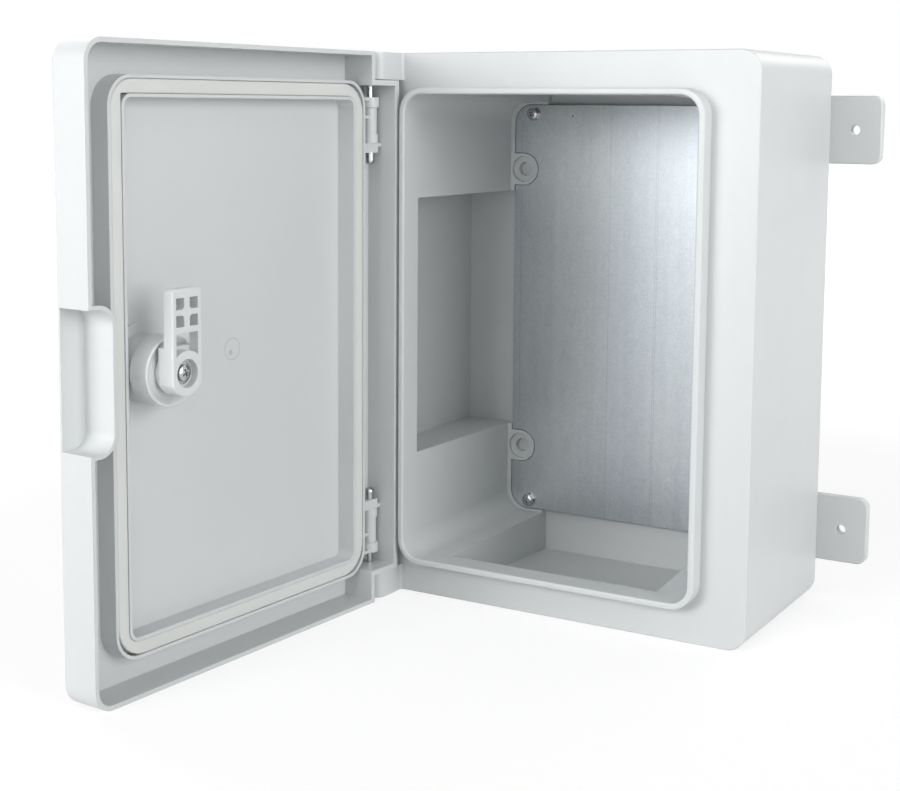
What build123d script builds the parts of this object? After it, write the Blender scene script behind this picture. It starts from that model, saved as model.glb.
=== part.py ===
"""Wall enclosure in moulded plastic with a side-hung door, shown with the door open.

The frame's origin is the centre of the four wall holes, on the wall. X runs to the right, Y runs
into the wall and Z runs up. The door is built shut and then swung open about its pins.
"""
from build123d import *
from math import hypot
import os

os.makedirs("parts", exist_ok=True)

# Box
body_w = 300.0
body_h = 400.0
body_d = 150.0
wall = 3.0
corner_r = 14.0
edge_r = 1.0

# Collar round the mouth
collar_side = 33.0
collar_end = 25.0
collar_h = 12.7
collar_t = 4.6
collar_r = 18.0
collar_tip_r = 1.4

# Liner, drawn in from the mouth to the back wall
draft_side = 5.4
draft_end = 5.1
seat_r = 16.0

# Pockets where the walls step out for cable entries
pocket_lip = 7.0
side_pocket_end = 105.0
end_pocket_side = 67.0
end_pocket_draft = 8.5

# Ledge and bosses on the back wall
ledge_side = 3.3
ledge_end = 1.3
ledge_h = 6.5
ledge_root = 1.5
boss_side = 54.5
boss_end = 87.5
boss_r = 12.5
boss_recess_r = 10.3
boss_recess_h = 3.0
boss_hole_r = 5.5
boss_skin = 1.5

# Mounting plate
plate_t = 2.0
plate_lift = 4.0
plate_gap = 0.5
plate_screw_side = 63.0
plate_screw_end = 43.5
post_r = 5.0
plate_screw_r = 2.5
plate_screw_l = 7.6
washer_r = 5.7
washer_t = 1.0
spring_r = 4.5
spring_t = 1.1
spring_split = 0.8
pan_r = 4.6
pan_h = 3.2
drive_w = 1.2
drive_l = 5.4
drive_h = 1.6

# Wall lugs
lug_t = 8.0
lug_l = 68.0
lug_h = 49.0
lug_r = 7.0
lug_edge = 0.8
lug_end = 53.0
lug_reach = 37.0
lug_hole_in = 19.0
lug_hole_r = 3.6
lug_screw_in = 19.0
lug_screw_r = 3.0
lug_screw_l = 16.0
lug_head_r = 6.0
lug_head_h = 3.8
lug_sink_r = 6.6
lug_sink_h = 4.4
lug_post_r = 7.5
rib_t = 2.5

# Door
door_d = 27.5
door_gap = 2.5
panel_t = 3.0
door_edge_r = 2.0
rim_r = 1.5
hinge_wall = 5.5
notch_wall = 3.8
open_angle = 94.2

# Hinge
hinge_side = 13.0
hinge_out = 20.0
ear_w = 28.5
ear_h = 19.5
ear_gap = 0.5
ear_front_r = 9.0
ear_side_r = 3.0
ear_foot_r = 2.0
pin_r = 2.6
pin_fit = 0.06
pin_in_ear = 12.0
pin_head_r = 3.8
pin_head_h = 8.4
pin_head_edge = 2.6
barrel_r = 5.1
barrel_low = 12.2
barrel_h = 32.8
ring_top_r = 6.6
ring_top_h = 7.2
ring_base_r = 6.0
ring_base_h = 6.6
knuckle_reach = 4.4
lug_plate_t = 2.4
mid_rib_low = 14.1
mid_rib_t = 2.3
mid_rib_reach = 3.0
flange_t = 2.6
flange_reach = 8.9
block_h = 4.3
sweep_gap = 0.3

# Gasket frame on the door
frame_side = 27.0
frame_end = 20.5
frame_low = 10.5
frame_r = 19.0
frame_wall = 2.2
gasket_w = 9.2
gasket_t = 8.0
gasket_gap = 0.15
gasket_out_r = 17.5
gasket_in_r = 5.0

# Finger recess in the free edge
grip_w = 18.5
grip_h = 86.0
grip_r = 11.0
grip_wall = 2.5

# Lock
lock_side = 62.5
lock_boss_r = 21.5
lock_pad_r = 28.0
lock_pad_h = 1.5
lock_boss_low = 9.6
lock_tube_r = 16.0
lock_fit = 0.1
lock_flange_r = 22.0
lock_flange_t = 2.5
lock_flange_edge = 1.0
seal_t = 0.8
seal_groove = 0.8
lock_bore_r = 9.0
nut_r = 22.0
nut_h = 14.2
nut_edge = 0.8
nut_dish_r = 20.9
nut_dish_floor_r = 17.0
nut_dish_h = 3.0
nut_fit = 0.05
rotor_head_r = 12.0
rotor_head_h = 5.0
key_r = 4.2
key_w = 2.4
key_l = 17.0
key_h = 4.0
ring_groove_h = 2.6
ring_groove_t = 1.3
cam_w = 24.8
cam_l = 52.0
cam_gap = 0.3
cam_t = 7.5
cam_hub_t = 15.1
cam_hub_l = 16.0
cam_hub_gap = 0.5
cam_ring_r = 14.0
cam_top_r = 3.5
cam_edge_r = 0.8
cam_hole = 7.0
cam_hole_cut = 1.4
cam_bar_x = 4.6
cam_bar_z = 3.6
cam_rim = 5.6
cam_window_top = 25.0
cam_square = 9.0
cam_square_fit = 0.1
cam_recess_r = 8.8
cam_recess_h = 5.2
cam_washer_r = 7.0
cam_screw_r = 2.5
cam_screw_l = 14.0
cam_screw_short = 0.5
cam_screw_head_r = 5.2
screw_fit = 0.05

# Planes worked out from the sizes above
back_y = -lug_t
front_y = back_y - body_d
inner_back_y = back_y - wall
collar_tip_y = front_y - collar_h
ledge_y = inner_back_y - ledge_h
plate_back_y = inner_back_y - plate_lift
plate_front_y = plate_back_y - plate_t
pocket_front_y = front_y + pocket_lip
rim_y = front_y - door_gap
door_front_y = rim_y - door_d
panel_y = door_front_y + panel_t
frame_tip_y = rim_y - frame_low
gasket_seat_y = frame_tip_y - gasket_t
cam_front_y = pocket_front_y + cam_gap
cam_face_y = cam_front_y + cam_t
cam_back_y = cam_face_y - cam_hub_t
cam_seat_y = cam_face_y - cam_recess_h
nut_seat_y = rim_y - lock_boss_low
nut_top_y = nut_seat_y + nut_h
nut_floor_y = nut_top_y - nut_dish_h

left_x = -body_w / 2
ear_x = left_x + ear_w
ear_z = body_h / 2 - ear_h
notch_x = ear_x + ear_gap
notch_z = ear_z - ear_gap
hinge_x = left_x + hinge_side
hinge_y = front_y - hinge_out
lock_x = body_w / 2 - lock_side
mouth_w = body_w - 2 * (collar_side + collar_t)
mouth_h = body_h - 2 * (collar_end + collar_t)
mouth_r = collar_r - collar_t
seat_w = mouth_w - 2 * draft_side
seat_h = mouth_h - 2 * draft_end
across = body_w - 2 * wall
upright = body_h - 2 * wall
side_pocket_h = body_h - 2 * side_pocket_end
end_pocket_w = body_w - 2 * end_pocket_side
boss_x = body_w / 2 - boss_side
boss_z = body_h / 2 - boss_end
boss_reach = seat_w / 2 + ledge_root - boss_x
plate_screw_x = body_w / 2 - plate_screw_side
plate_screw_z = body_h / 2 - plate_screw_end
barrel_top_z = notch_z - barrel_low
barrel_base_z = barrel_top_z - barrel_h
pin_seat_z = barrel_base_z - flange_t - block_h
frame_w = body_w - 2 * frame_side
frame_h = body_h - 2 * frame_end
channel_w = 2 * frame_wall + gasket_w
lug_tip_x = body_w / 2 + lug_reach
lug_hole_x = lug_tip_x - lug_hole_in
lug_screw_x = body_w / 2 - lug_screw_in
lug_z = body_h / 2 - lug_end
cut_margin = 1.0
hinge_axis = Axis((hinge_x, hinge_y, 0), (0, 0, 1))


def upright_plane(y):
    """The XZ plane at a depth, seen from the front."""
    return Plane((0, y, 0), x_dir=(1, 0, 0), z_dir=(0, -1, 0))


def slab(sketch, y_back, y_front):
    """Extrudes an XZ sketch between two Y planes, the front one nearer the viewer."""
    return extrude(upright_plane(y_back) * sketch, y_back - y_front)


def tapered(back, front, y_back, y_front):
    """A straight-sided solid between two XZ sketches on two Y planes."""
    return loft([upright_plane(y_back) * back, upright_plane(y_front) * front], ruled=True)


def round_slab(width, height, radius, y_back, y_front):
    """A rounded rectangle centred on the box, extruded between two Y planes."""
    return slab(RectangleRounded(width, height, radius), y_back, y_front)


def disc(x, z, radius, y_back, y_front):
    """A cylinder along Y."""
    return slab(Pos(x, z) * Circle(radius), y_back, y_front)


def block(x0, x1, y0, y1, z0, z1):
    """A box between two corners."""
    size = Box(x1 - x0, y1 - y0, z1 - z0)
    return Pos((x0 + x1) / 2, (y0 + y1) / 2, (z0 + z1) / 2) * size


def rod(radius, z0, z1):
    """An upright cylinder on the hinge axis."""
    return Pos(hinge_x, hinge_y, (z0 + z1) / 2) * Cylinder(radius, z1 - z0)


def edges_at_y(solid, y):
    """The edges of the flat faces that lie in one Y plane."""
    tolerance = 1e-4
    return [e for e in solid.edges() if all(abs(v.Y - y) < tolerance for v in e.vertices())]


def four(x, z):
    """The four mirrored places of a point on the back wall."""
    return [(sx * x, sz * z) for sx in (-1, 1) for sz in (-1, 1)]


def pan_head(radius, height, shank_r, shank_l):
    """A screw along +Z with its seat at z = 0, a bevelled head and a cross recess."""
    head = Cylinder(radius, height, align=(Align.CENTER, Align.CENTER, Align.MIN))
    head = chamfer(head.edges().filter_by(GeomType.CIRCLE).sort_by(Axis.Z)[-1], height / 2, height / 3)
    shank = Cylinder(shank_r, shank_l, align=(Align.CENTER, Align.CENTER, Align.MAX))
    cross = Pos(0, 0, height) * (Box(drive_l, drive_w, 2 * drive_h) + Box(drive_w, drive_l, 2 * drive_h))
    return head + shank - cross


def facing_front(x, y, z):
    """Turns +Z of a screw towards the viewer and puts its seat at a point."""
    return Pos(x, y, z) * Rot(90, 0, 0)


def facing_wall(x, y, z):
    """Turns +Z of a screw towards the wall and puts its seat at a point."""
    return Pos(x, y, z) * Rot(-90, 0, 0)


def ear_profile():
    """Plan of a hinge ear: rounded where the door's notch sweeps past, flared at its foot."""
    depth = front_y - door_front_y
    plan = Pos(left_x + ear_w / 2, door_front_y + depth / 2) * Rectangle(ear_w, depth)
    front = plan.vertices().group_by(Axis.Y)[0].sort_by(Axis.X)
    plan = fillet(front[-1], ear_front_r)
    front = plan.vertices().group_by(Axis.X)[0].sort_by(Axis.Y)
    plan = fillet(front[0], ear_side_r)
    foot = Pos(ear_x + ear_foot_r / 2, front_y - ear_foot_r / 2) * Rectangle(ear_foot_r, ear_foot_r)
    foot -= Pos(ear_x + ear_foot_r, front_y - ear_foot_r) * Circle(ear_foot_r)
    return plan + foot


def ears():
    """The two corner ears that carry the hinge pins."""
    outline = round_slab(body_w, body_h, corner_r, front_y, door_front_y)
    tall = Pos(0, 0, ear_z) * extrude(ear_profile(), ear_h)
    bore = rod(pin_r + pin_fit, ear_z - cut_margin, ear_z + pin_in_ear + cut_margin)
    upper = (tall & outline) - bore
    return upper + mirror(upper, Plane.XY)


def liner(margin):
    """The tapered inner form between the back wall and the mouth, grown by a margin."""
    back = RectangleRounded(seat_w + 2 * margin, seat_h + 2 * margin, seat_r + margin)
    front = RectangleRounded(mouth_w + 2 * margin, mouth_h + 2 * margin, mouth_r + margin)
    return tapered(back, front, inner_back_y, front_y)


def pockets(margin):
    """The side and end pockets behind the lip, grown by a margin; the end ones narrow to the back."""
    side = slab(Rectangle(across, side_pocket_h + 2 * margin), inner_back_y, pocket_front_y)
    narrow = Rectangle(end_pocket_w - 2 * end_pocket_draft + 2 * margin, upright)
    wide = Rectangle(end_pocket_w + 2 * margin, upright)
    return [side, tapered(narrow, wide, inner_back_y, pocket_front_y)]


def back_cavities():
    """Hollows open to the wall behind the four corners, between the outer wall and the liner."""
    plan = RectangleRounded(across, upright, corner_r - wall)
    lips = Rectangle(across, side_pocket_h + 2 * wall) + Rectangle(end_pocket_w + 2 * wall, upright)
    hollow = slab(plan - lips, inner_back_y, front_y + wall) + slab(plan, back_y + cut_margin, inner_back_y)
    floor = RectangleRounded(seat_w + 2 * wall, seat_h + 2 * wall, seat_r + wall)
    floor += lips
    return hollow - liner(wall) - slab(floor, back_y + cut_margin, inner_back_y)


def lug_posts():
    """Ribbed posts in the corner hollows that take the lug screws."""
    posts = []
    for x, z in four(lug_screw_x, lug_z):
        post = disc(x, z, lug_post_r, back_y, front_y + wall / 2)
        inner = seat_w / 2 + wall / 2
        outer = body_w / 2 - wall / 2
        lo, hi = sorted((inner * x / abs(x), outer * x / abs(x)))
        rib = block(lo, hi, front_y + wall / 2, back_y, z - rib_t / 2, z + rib_t / 2)
        hole = disc(x, z, lug_screw_r + screw_fit, back_y + cut_margin, back_y - lug_screw_l)
        posts.append(post + rib - hole)
    return posts


def ledge():
    """The raised rim round the plate's corners, with the tongues of the four wall bosses."""
    rim = RectangleRounded(seat_w + 2 * ledge_root, seat_h + 2 * ledge_root, seat_r + ledge_root)
    rim -= RectangleRounded(seat_w - 2 * ledge_side, seat_h - 2 * ledge_end, seat_r - ledge_end)
    for x, z in four(boss_x, boss_z):
        root = x + boss_reach / 2 * x / abs(x)
        rim += Pos(x, z) * Circle(boss_r)
        rim += Pos(root, z) * Rectangle(boss_reach, 2 * boss_r)
    return slab(rim, inner_back_y, ledge_y) - pockets(0)


def wall_boss_cuts():
    """The stepped blind holes of the wall bosses."""
    cuts = []
    for x, z in four(boss_x, boss_z):
        cuts.append(disc(x, z, boss_recess_r, ledge_y + boss_recess_h, ledge_y - cut_margin))
        cuts.append(disc(x, z, boss_hole_r, back_y - boss_skin, ledge_y))
    return cuts


def plate_posts():
    """Short posts that hold the plate off the back wall."""
    return [disc(x, z, post_r, inner_back_y, plate_back_y) for x, z in four(plate_screw_x, plate_screw_z)]


def plate_screw_holes():
    """Blind holes for the plate screws."""
    deep = plate_front_y + plate_screw_l - washer_t - spring_t
    radius = plate_screw_r + screw_fit
    return [disc(x, z, radius, deep, plate_back_y - cut_margin) for x, z in four(plate_screw_x, plate_screw_z)]


def collar():
    """The upstanding collar that presses into the door's gasket."""
    ring = round_slab(body_w - 2 * collar_side, body_h - 2 * collar_end, collar_r, front_y, collar_tip_y)
    ring -= round_slab(mouth_w, mouth_h, mouth_r, front_y, collar_tip_y)
    return fillet(edges_at_y(ring, collar_tip_y), collar_tip_r)


def sweep_radius():
    """How far the rim's rounded outer corner reaches from the hinge axis."""
    return hypot(hinge_side - rim_r, hinge_out - door_gap - rim_r) + rim_r


def body_shell():
    """The moulded box: outer walls, liner, pockets, collar, ears, ledge and bosses."""
    box = round_slab(body_w, body_h, corner_r, back_y, front_y)
    box = fillet(edges_at_y(box, front_y) + edges_at_y(box, back_y), edge_r)
    box -= rod(sweep_radius() + sweep_gap, -ear_z, ear_z)
    box += ears()
    box -= back_cavities()
    box += lug_posts()
    box -= liner(0)
    box -= pockets(0)
    box += collar()
    box += ledge()
    box += plate_posts()
    box -= wall_boss_cuts()
    box -= plate_screw_holes()
    return box


def mounting_plate():
    """Galvanised sheet with rounded corners, notched round the wall bosses."""
    width = seat_w - 2 * (ledge_side + plate_gap)
    height = seat_h - 2 * (ledge_end + plate_gap)
    sheet = RectangleRounded(width, height, seat_r - ledge_end - plate_gap)
    for x, z in four(boss_x, boss_z):
        root = x + boss_reach / 2 * x / abs(x)
        sheet -= Pos(x, z) * Circle(boss_r + plate_gap)
        sheet -= Pos(root, z) * Rectangle(boss_reach, 2 * (boss_r + plate_gap))
    for x, z in four(plate_screw_x, plate_screw_z):
        sheet -= Pos(x, z) * Circle(plate_screw_r + plate_gap / 2)
    return slab(sheet, plate_back_y, plate_front_y)


def plate_washers():
    """Flat washers under the plate screws."""
    bore = plate_screw_r + screw_fit
    ring = Circle(washer_r) - Circle(bore)
    places = four(plate_screw_x, plate_screw_z)
    return [slab(Pos(x, z) * ring, plate_front_y, plate_front_y - washer_t) for x, z in places]


def spring_washers():
    """Split spring washers between the flat washers and the heads."""
    bore = plate_screw_r + screw_fit
    ring = Circle(spring_r) - Circle(bore)
    ring -= Pos(-spring_r, 0) * Rectangle(2 * spring_r - bore, spring_split)
    seat = plate_front_y - washer_t
    return [slab(Pos(x, z) * ring, seat, seat - spring_t) for x, z in four(plate_screw_x, plate_screw_z)]


def plate_screws():
    """Pan-head screws at the plate's corners."""
    screw = pan_head(pan_r, pan_h, plate_screw_r, plate_screw_l)
    seat = plate_front_y - washer_t - spring_t
    return [facing_front(x, seat, z) * screw for x, z in four(plate_screw_x, plate_screw_z)]


def wall_lug(side, level):
    """One lug behind a corner, with its wall hole outside the box."""
    centre_x = side * (lug_tip_x - lug_l / 2)
    centre_z = level * lug_z
    lug = slab(Pos(centre_x, centre_z) * RectangleRounded(lug_l, lug_h, lug_r), 0, back_y)
    lug = chamfer(edges_at_y(lug, 0) + edges_at_y(lug, back_y), lug_edge)
    lug -= disc(side * lug_hole_x, centre_z, lug_hole_r, cut_margin, back_y - cut_margin)
    lug -= disc(side * lug_screw_x, centre_z, lug_screw_r + screw_fit, cut_margin, back_y - cut_margin)
    lug -= disc(side * lug_screw_x, centre_z, lug_sink_r, cut_margin, -lug_sink_h)
    return lug


def lug_screws():
    """Screws that hold the lugs, sunk in their backs."""
    screw = pan_head(lug_head_r, lug_head_h, lug_screw_r, lug_screw_l)
    return [facing_wall(x, -lug_sink_h, z) * screw for x, z in four(lug_screw_x, lug_z)]


def door_block():
    """The door's outer form with its two notched corners and rounded edges."""
    form = round_slab(body_w, body_h, corner_r, rim_y, door_front_y)
    form = fillet(edges_at_y(form, door_front_y), door_edge_r)
    return form


def notch_cuts():
    """The corner cut-outs that clear the ears."""
    top = body_h / 2 + cut_margin
    upper = block(left_x - cut_margin, notch_x, door_front_y - cut_margin, rim_y + cut_margin, notch_z, top)
    return [upper, mirror(upper, Plane.XY)]


def corner_walls(form):
    """Blocks in the hinge corners, from which the notches leave a wall."""
    right = notch_x + notch_wall
    upper = block(left_x, right, door_front_y, rim_y, notch_z - notch_wall, body_h / 2) & form
    return [upper, mirror(upper, Plane.XY)]


def grip(margin):
    """The finger recess in plan, open past the free edge and grown by a margin."""
    length = 3 * grip_w + 2 * margin
    centre = body_w / 2 - grip_w - margin + length / 2
    return Pos(centre, 0) * RectangleRounded(length, grip_h + 2 * margin, grip_r + margin)


def gasket_frame():
    """The double-walled channel that holds the gasket."""
    ring = RectangleRounded(frame_w, frame_h, frame_r)
    inner_r = frame_r - channel_w
    ring -= RectangleRounded(frame_w - 2 * channel_w, frame_h - 2 * channel_w, inner_r)
    groove = RectangleRounded(frame_w - 2 * frame_wall, frame_h - 2 * frame_wall, frame_r - frame_wall)
    inset = frame_wall + gasket_w
    groove -= RectangleRounded(frame_w - 2 * inset, frame_h - 2 * inset, frame_r - inset)
    return slab(ring, frame_tip_y, panel_y) - slab(groove, frame_tip_y, gasket_seat_y)


def hinge_knuckle():
    """The upper knuckle: barrel with two collars, held to the frame by plates and a block."""
    low = panel_y
    near = hinge_y + knuckle_reach
    frame_x = left_x + frame_side + frame_wall / 2
    flange_z = barrel_base_z - flange_t
    knuckle = rod(barrel_r, barrel_base_z, barrel_top_z)
    knuckle += rod(ring_top_r, barrel_top_z - ring_top_h, barrel_top_z)
    knuckle += rod(ring_base_r, barrel_base_z, barrel_base_z + ring_base_h)
    knuckle += block(hinge_x, frame_x, low, near, barrel_top_z - lug_plate_t, barrel_top_z)
    rib_z = barrel_top_z - mid_rib_low
    half = mid_rib_t / 2
    knuckle += block(hinge_x, frame_x, low, hinge_y + mid_rib_reach, rib_z - half, rib_z + half)
    knuckle += block(hinge_x - flange_reach, frame_x, low, near, flange_z, barrel_base_z)
    knuckle += block(hinge_x - knuckle_reach, frame_x, low, near, pin_seat_z, flange_z)
    return knuckle


def lock_boss():
    """The round boss on the inside of the panel that the lock's nut pulls against."""
    boss = disc(lock_x, 0, lock_boss_r, nut_seat_y, panel_y)
    return boss + disc(lock_x, 0, lock_pad_r, panel_y + lock_pad_h, panel_y)


def door_panel():
    """The moulded door, built shut."""
    form = door_block()
    tray = Pos((hinge_wall - wall) / 2, 0) * RectangleRounded(across + wall - hinge_wall, upright, corner_r - wall)
    door = form - slab(tray, rim_y + cut_margin, panel_y)
    door += corner_walls(form)
    door -= notch_cuts()
    rim_edges = [e for e in edges_at_y(door, rim_y) if abs(e.center().X - left_x) < cut_margin / 2]
    door = fillet(rim_edges, rim_r)
    door += slab(grip(grip_wall), rim_y, door_front_y) & form
    door -= slab(grip(0), rim_y + cut_margin, panel_y)
    door += gasket_frame()
    knuckle = hinge_knuckle()
    door += [knuckle, mirror(knuckle, Plane.XY)]
    bore_end = notch_z + cut_margin
    bore = rod(pin_r + screw_fit, pin_seat_z - cut_margin, bore_end)
    door -= [bore, mirror(bore, Plane.XY)]
    door += lock_boss()
    door -= disc(lock_x, 0, lock_tube_r + lock_fit, rim_y, door_front_y - cut_margin)
    return door


def door_gasket():
    """A strip of foam laid in the channel, square at its inner corners."""
    inset = frame_wall + gasket_gap
    ring = RectangleRounded(frame_w - 2 * inset, frame_h - 2 * inset, gasket_out_r)
    inset = frame_wall + gasket_w - gasket_gap
    ring -= RectangleRounded(frame_w - 2 * inset, frame_h - 2 * inset, gasket_in_r)
    return slab(ring, frame_tip_y, gasket_seat_y)


def hinge_pin(level):
    """A steel pin with a domed head, from under the knuckle up into the ear."""
    head = rod(pin_head_r, pin_seat_z - pin_head_h, pin_seat_z)
    dome = head.edges().filter_by(GeomType.CIRCLE).sort_by(Axis.Z)[0]
    head = fillet(dome, pin_head_edge)
    tip = rod(pin_r, pin_seat_z, ear_z + pin_in_ear)
    end = tip.edges().filter_by(GeomType.CIRCLE).sort_by(Axis.Z)[-1]
    pin = head + chamfer(end, pin_r / 3)
    return pin if level > 0 else mirror(pin, Plane.XY)


def lock_housing():
    """Flanged tube through the panel that guides the rotor."""
    seat = door_front_y - seal_t
    face = seat - lock_flange_t
    flange = disc(lock_x, 0, lock_flange_r, seat, face)
    flange = chamfer(edges_at_y(flange, face), lock_flange_edge)
    tube = disc(lock_x, 0, lock_tube_r, nut_floor_y, seat)
    bore = disc(lock_x, 0, lock_bore_r + lock_fit, nut_floor_y + cut_margin, face - cut_margin)
    sink = disc(lock_x, 0, rotor_head_r + lock_fit, face + rotor_head_h, face - cut_margin)
    return flange + tube - bore - sink


def lock_seal():
    """Flat ring between the housing's flange and the door."""
    ring = Circle(lock_flange_r - seal_groove) - Circle(lock_tube_r + lock_fit)
    return slab(Pos(lock_x, 0) * ring, door_front_y, door_front_y - seal_t)


def lock_nut():
    """Large round nut with a dished face that clamps the housing to its boss."""
    nut = disc(lock_x, 0, nut_r, nut_top_y, nut_seat_y)
    nut = chamfer(edges_at_y(nut, nut_top_y), nut_edge)
    dish = Rot(90, 0, 0) * Cone(nut_dish_r, nut_dish_floor_r, nut_dish_h)
    nut -= Pos(lock_x, (nut_top_y + nut_floor_y) / 2, 0) * dish
    return nut - disc(lock_x, 0, lock_tube_r + nut_fit, nut_top_y, nut_seat_y - cut_margin)


def rotor_face_y():
    """The outer face of the rotor, flush with the housing's flange."""
    return door_front_y - seal_t - lock_flange_t


def lock_rotor():
    """The turning core: a head with a key recess outside and a square that carries the cam."""
    face = rotor_face_y()
    square_end = cam_seat_y - cam_screw_short
    core = disc(lock_x, 0, rotor_head_r, face + rotor_head_h, face)
    core += disc(lock_x, 0, lock_bore_r, cam_back_y, face)
    core += slab(Pos(lock_x, 0) * Rectangle(cam_square, cam_square), square_end, cam_back_y)
    core -= disc(lock_x, 0, key_r, face + key_h, face - cut_margin)
    core -= slab(Pos(lock_x, 0) * Rectangle(key_w, key_l), face + key_h, face - cut_margin)
    core -= disc(lock_x, 0, cam_screw_r + screw_fit, square_end + cut_margin, square_end - cam_screw_l)
    groove_y = face + rotor_head_h + ring_groove_h
    band = Circle(lock_bore_r + cut_margin) - Circle(lock_bore_r - ring_groove_t)
    core -= slab(Pos(lock_x, 0) * band, groove_y + ring_groove_h, groove_y)
    return core


def rotor_ring():
    """The rubber ring in the rotor's groove."""
    groove_y = rotor_face_y() + rotor_head_h + ring_groove_h
    half = ring_groove_t / 2
    middle = groove_y + ring_groove_h / 2
    ring = Circle(lock_bore_r) - Circle(lock_bore_r - ring_groove_t)
    return slab(Pos(lock_x, 0) * ring, middle + half, middle - half)


def cam_cutouts():
    """Four small square holes and a window over the hub, in the cam's plan."""
    across_step = (cam_hole + cam_bar_x) / 2
    up_step = (cam_hole + cam_bar_z) / 2
    middle = cam_l - cam_rim - cam_hole - cam_bar_z / 2
    cuts = []
    for sx in (-1, 1):
        for sz in (-1, 1):
            hole = Pos(sx * across_step, middle + sz * up_step) * Rectangle(cam_hole, cam_hole)
            near = sorted(hole.vertices(), key=lambda v: hypot(v.X, v.Y - middle))[0]
            cuts.append(chamfer(near, cam_hole_cut))
    width = 2 * cam_hole + cam_bar_x
    window = Pos(0, cam_window_top / 2) * Rectangle(width, cam_window_top)
    return cuts + [window - Circle(cam_ring_r)]


def cam_plan(length):
    """The cam's outline: a strip from the axis up, with its foot rounded and cut to the strip's width."""
    foot = Circle(cam_ring_r) & Rectangle(cam_w, 2 * cam_ring_r)
    return foot + Pos(0, length / 2) * Rectangle(cam_w, length)


def lock_cam():
    """The latch arm, upright as when unlocked, on a hub that steps down into the nut's dish."""
    arm = cam_plan(cam_l)
    arm = fillet(arm.vertices().group_by(Axis.Y)[-1], cam_top_r)
    cam = slab(Pos(lock_x, 0) * arm, cam_face_y, cam_front_y)
    cam = fillet(edges_at_y(cam, cam_face_y), cam_edge_r)
    for cut in cam_cutouts():
        cam -= slab(Pos(lock_x, 0) * cut, cam_face_y + cut_margin, cam_front_y - cut_margin)
    cam += slab(Pos(lock_x, 0) * cam_plan(cam_hub_l), cam_front_y, nut_top_y + cam_hub_gap)
    cam += disc(lock_x, 0, cam_w / 2, cam_front_y, cam_back_y)
    cam -= disc(lock_x, 0, cam_recess_r, cam_face_y + cut_margin, cam_seat_y)
    side = cam_square + 2 * cam_square_fit
    cam -= slab(Pos(lock_x, 0) * Rectangle(side, side), cam_seat_y, cam_back_y - cut_margin)
    return cam


def cam_washer():
    """Washer under the cam's screw."""
    ring = Circle(cam_washer_r) - Circle(cam_screw_r + screw_fit)
    return slab(Pos(lock_x, 0) * ring, cam_seat_y + washer_t, cam_seat_y)


def cam_screw():
    """The screw that holds the cam on its square."""
    screw = pan_head(cam_screw_head_r, pan_h, cam_screw_r, cam_screw_l)
    return facing_wall(lock_x, cam_seat_y + washer_t, 0) * screw


def opened(solid):
    """Swings a piece of the shut door to the angle that it is shown at."""
    return solid.rotate(hinge_axis, -open_angle)


def save(name, *solids):
    """Writes one node, as one solid or as a group of separate ones."""
    pieces = [s for item in solids for s in item.solids()]
    export_step(pieces[0] if len(pieces) == 1 else Compound(children=pieces), f"parts/{name}.step")


save("body_shell", body_shell())
save("mounting_plate", mounting_plate())
save("plate_washers", *plate_washers())
save("plate_spring_washers", *spring_washers())
save("plate_screws", *plate_screws())
for lug_side, side_name in ((-1, "left"), (1, "right")):
    for lug_level, level_name in ((-1, "lower"), (1, "upper")):
        save(f"wall_lug_{level_name}_{side_name}", wall_lug(lug_side, lug_level))
save("lug_screws", *lug_screws())

save("door_panel", opened(door_panel()))
save("door_gasket", opened(door_gasket()))
save("hinge_pin_upper", opened(hinge_pin(1)))
save("hinge_pin_lower", opened(hinge_pin(-1)))
save("lock_housing", opened(lock_housing()))
save("lock_seal", opened(lock_seal()))
save("lock_nut", opened(lock_nut()))
save("lock_rotor", opened(lock_rotor()))
save("rotor_ring", opened(rotor_ring()))
save("lock_cam", opened(lock_cam()))
save("cam_washer", opened(cam_washer()))
save("cam_screw", opened(cam_screw()))
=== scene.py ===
"""Finishes, fine pieces, light and camera for a moulded wall enclosure with its door open."""

import logging
import math
from dataclasses import dataclass, field
from enum import Enum
from typing import Iterable, Optional, Sequence, Union

import bmesh
import bpy
from mathutils import Matrix, Vector, noise


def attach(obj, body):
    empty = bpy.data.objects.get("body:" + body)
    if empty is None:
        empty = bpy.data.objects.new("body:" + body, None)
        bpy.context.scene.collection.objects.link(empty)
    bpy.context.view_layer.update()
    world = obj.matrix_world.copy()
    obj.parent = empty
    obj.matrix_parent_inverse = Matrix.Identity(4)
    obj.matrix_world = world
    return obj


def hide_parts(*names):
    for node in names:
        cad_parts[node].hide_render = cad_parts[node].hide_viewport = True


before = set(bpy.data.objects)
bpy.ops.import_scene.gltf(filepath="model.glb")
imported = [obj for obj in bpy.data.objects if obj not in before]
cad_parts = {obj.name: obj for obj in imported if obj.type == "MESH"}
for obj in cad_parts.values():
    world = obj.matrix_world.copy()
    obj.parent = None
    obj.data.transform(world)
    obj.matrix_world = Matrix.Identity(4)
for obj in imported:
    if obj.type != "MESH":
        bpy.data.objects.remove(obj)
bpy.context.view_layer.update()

log = logging.getLogger("enclosure")

Operand = Union["Value", float, int]
WELD = 0.000001
SHARP_ANGLE = math.radians(32.0)
WHITE = (1.0, 1.0, 1.0)
AXES = "XYZ"
LINE_CORE = 0.3
EDGE_TURN = (0.01, 0.25)
EDGE_SAMPLES = 6


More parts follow.
